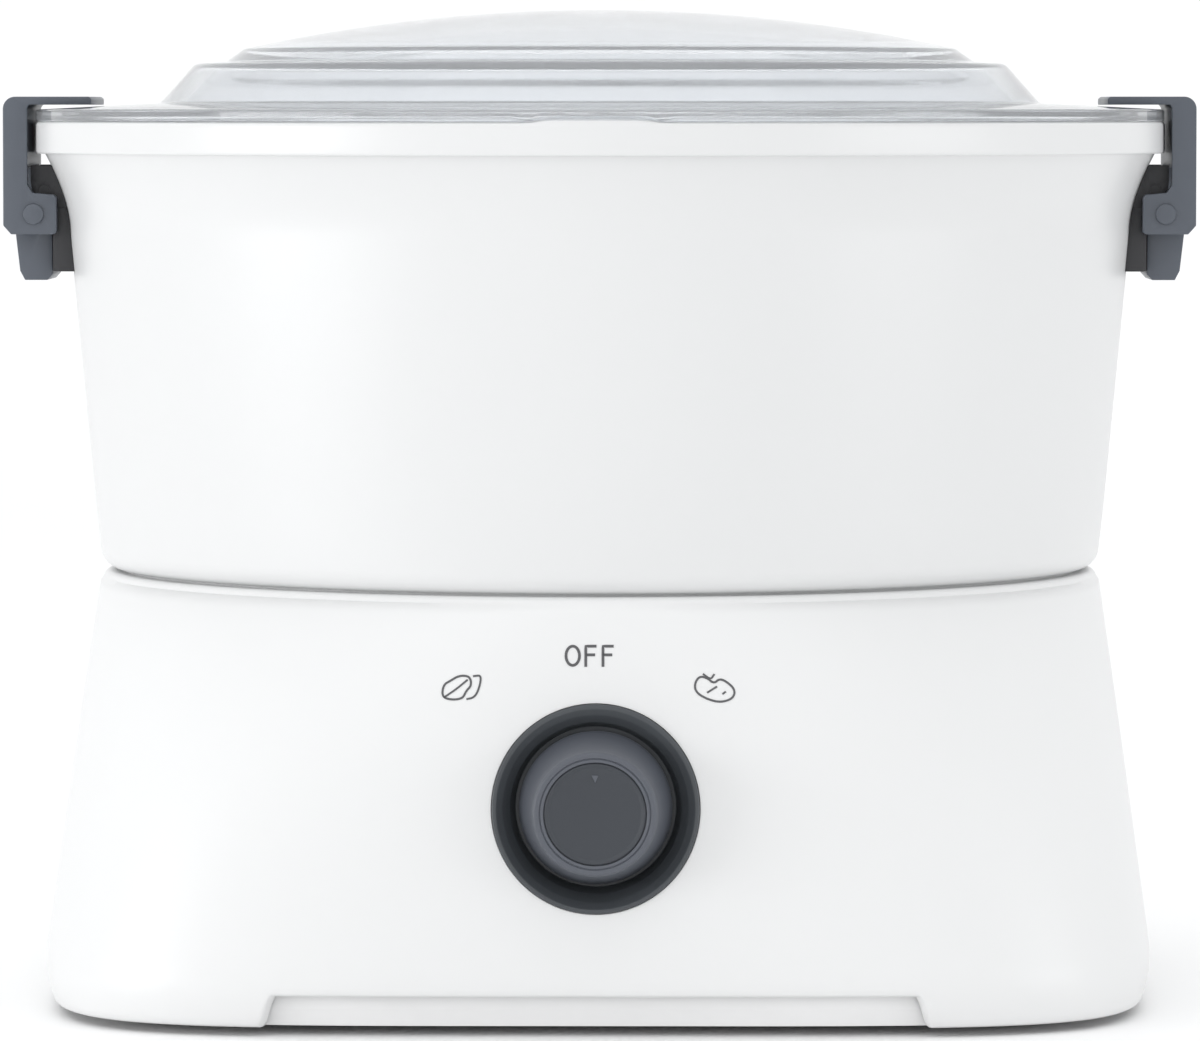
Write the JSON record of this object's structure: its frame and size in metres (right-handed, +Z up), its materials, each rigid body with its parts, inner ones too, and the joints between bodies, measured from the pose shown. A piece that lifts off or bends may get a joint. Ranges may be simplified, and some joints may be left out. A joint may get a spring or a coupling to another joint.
{
  "type": "electric potato peeler",
  "caption": "Countertop electric potato peeler and salad spinner: flared motor base with a rotary knob, lift-off tapered tub, clear domed lid and side draw latches.",
  "frame": {"origin": "on the surface that the feet rest on, under the drive shaft's axis and the middle of the footprint", "axes": "+Z up; the knob faces -Y; the latches are on +X and -X, so +X is to the right of someone facing the knob"},
  "size_m": [0.2704, 0.2617, 0.222],
  "materials": {
    "white_plastic": "satin white ABS",
    "tub_plastic": "satin white ABS",
    "cover_plastic": "fine-textured light grey",
    "black_rubber": "matt",
    "clear_gasket": "translucent silicone",
    "screw_steel": "zinc plated",
    "print_ink": "printed dark grey",
    "bezel_plastic": "satin dark blue-grey",
    "knob_plastic": "satin slate grey",
    "cap_plastic": "fine-textured dark grey",
    "shaft_steel": "ground steel",
    "switch_body": "natural nylon",
    "circuit_board": "green laminate",
    "black_plastic": "fine-textured black",
    "plate_steel": "zinc-plated sheet",
    "bronze": "sintered bronze",
    "gear_nylon": "natural acetal",
    "armature": "laminations and varnished wire",
    "blade_steel": "stamped stainless steel",
    "disc_plastic": "white ABS",
    "clear_plastic": "clear polycarbonate",
    "latch_plastic": "satin dark blue-grey"
  },
  "bodies": {
    "base": {"base_housing": "white_plastic", "bottom_cover": "cover_plastic", "rubber_feet": "black_rubber", "cover_screws": "screw_steel", "dial_marks": "print_ink", "knob_bezel": "bezel_plastic", "rotary_switch": "switch_body", "switch_nut": "screw_steel", "rectifier_board": "circuit_board", "board_components": "black_plastic", "cord_gland": "black_plastic", "cord_clamp": "switch_body", "clamp_screws": "screw_steel", "gear_plate": "plate_steel", "gear_plate_screws": "screw_steel", "upper_bush": "bronze", "lower_bush": "bronze", "idler_axle": "shaft_steel", "motor_can": "plate_steel", "motor_end_cap": "black_plastic", "motor_bushes": "bronze", "motor_brushes": "black_plastic", "motor_screws": "screw_steel"},
    "drive": {"drive_shaft": "shaft_steel", "output_gear": "gear_nylon"},
    "idler": {"idler_gear": "gear_nylon"},
    "rotor": {"motor_rotor": "armature", "motor_pinion": "bronze"},
    "dial": {"knob": "knob_plastic", "knob_cap": "cap_plastic", "switch_spindle": "shaft_steel"},
    "tub": {"tub": "tub_plastic", "shaft_seal": "black_rubber", "wall_blades": "blade_steel", "left_bracket": "black_plastic", "left_lever_pin": "black_plastic", "right_bracket": "black_plastic", "right_lever_pin": "black_plastic"},
    "disc": {"peeling_disc": "disc_plastic", "disc_blades": "blade_steel", "blade_screws": "screw_steel", "hub_cap": "cap_plastic"},
    "lid": {"lid": "clear_plastic", "lid_gasket": "clear_gasket"},
    "left_lever": {"left_lever": "latch_plastic", "left_hook_pin": "latch_plastic"},
    "left_hook": {"left_hook": "latch_plastic"},
    "right_lever": {"right_lever": "latch_plastic", "right_hook_pin": "latch_plastic"},
    "right_hook": {"right_hook": "latch_plastic"}
  },
  "joints": [
    {"name": "tub_lift", "type": "slide", "parent": "base", "child": "tub", "axis": [0, 0, 1], "range_m": [0, 0.12]},
    {"name": "drive_spin", "type": "hinge", "parent": "base", "child": "drive", "pos_m": [0, 0, 0.08], "axis": [0, 0, 1], "continuous": true},
    {"name": "idler_spin", "type": "hinge", "parent": "base", "child": "idler", "pos_m": [0, 0.035, 0.08], "axis": [0, 0, 1], "continuous": true},
    {"name": "motor_spin", "type": "hinge", "parent": "base", "child": "rotor", "pos_m": [0, 0.07, 0.04], "axis": [0, 0, 1], "continuous": true},
    {"name": "disc_spin", "type": "hinge", "parent": "tub", "child": "disc", "pos_m": [0, 0, 0.103], "axis": [0, 0, 1], "continuous": true},
    {"name": "knob_turn", "type": "hinge", "parent": "base", "child": "dial", "pos_m": [0, -0.12, 0.0493], "axis": [0, 1, 0], "range_deg": [-45, 45]},
    {"name": "lid_lift", "type": "slide", "parent": "tub", "child": "lid", "axis": [0, 0, 1], "range_m": [0, 0.01]},
    {"name": "right_lever_swing", "type": "hinge", "parent": "tub", "child": "right_lever", "pos_m": [0.12623, 0, 0.181], "axis": [0, -1, 0], "range_deg": [0, 60]},
    {"name": "right_hook_swing", "type": "hinge", "parent": "right_lever", "child": "right_hook", "pos_m": [0.12833, 0, 0.1756], "axis": [0, 1, 0], "range_deg": [0, 120]},
    {"name": "left_lever_swing", "type": "hinge", "parent": "tub", "child": "left_lever", "pos_m": [-0.12623, 0, 0.181], "axis": [0, 1, 0], "range_deg": [0, 60]},
    {"name": "left_hook_swing", "type": "hinge", "parent": "left_lever", "child": "left_hook", "pos_m": [-0.12833, 0, 0.1756], "axis": [0, -1, 0], "range_deg": [0, 120]}
  ],
  "couplings": [
    {"joint": "idler_spin", "follows": "drive_spin", "ratio": -4},
    {"joint": "motor_spin", "follows": "drive_spin", "ratio": 16},
    {"joint": "disc_spin", "follows": "drive_spin", "ratio": 1},
    {"joint": "right_lever_swing", "follows": "lid_lift", "rad_per_m": 104.72},
    {"joint": "right_hook_swing", "follows": "lid_lift", "rad_per_m": 209.44},
    {"joint": "left_lever_swing", "follows": "lid_lift", "rad_per_m": 104.72},
    {"joint": "left_hook_swing", "follows": "lid_lift", "rad_per_m": 209.44}
  ]
}
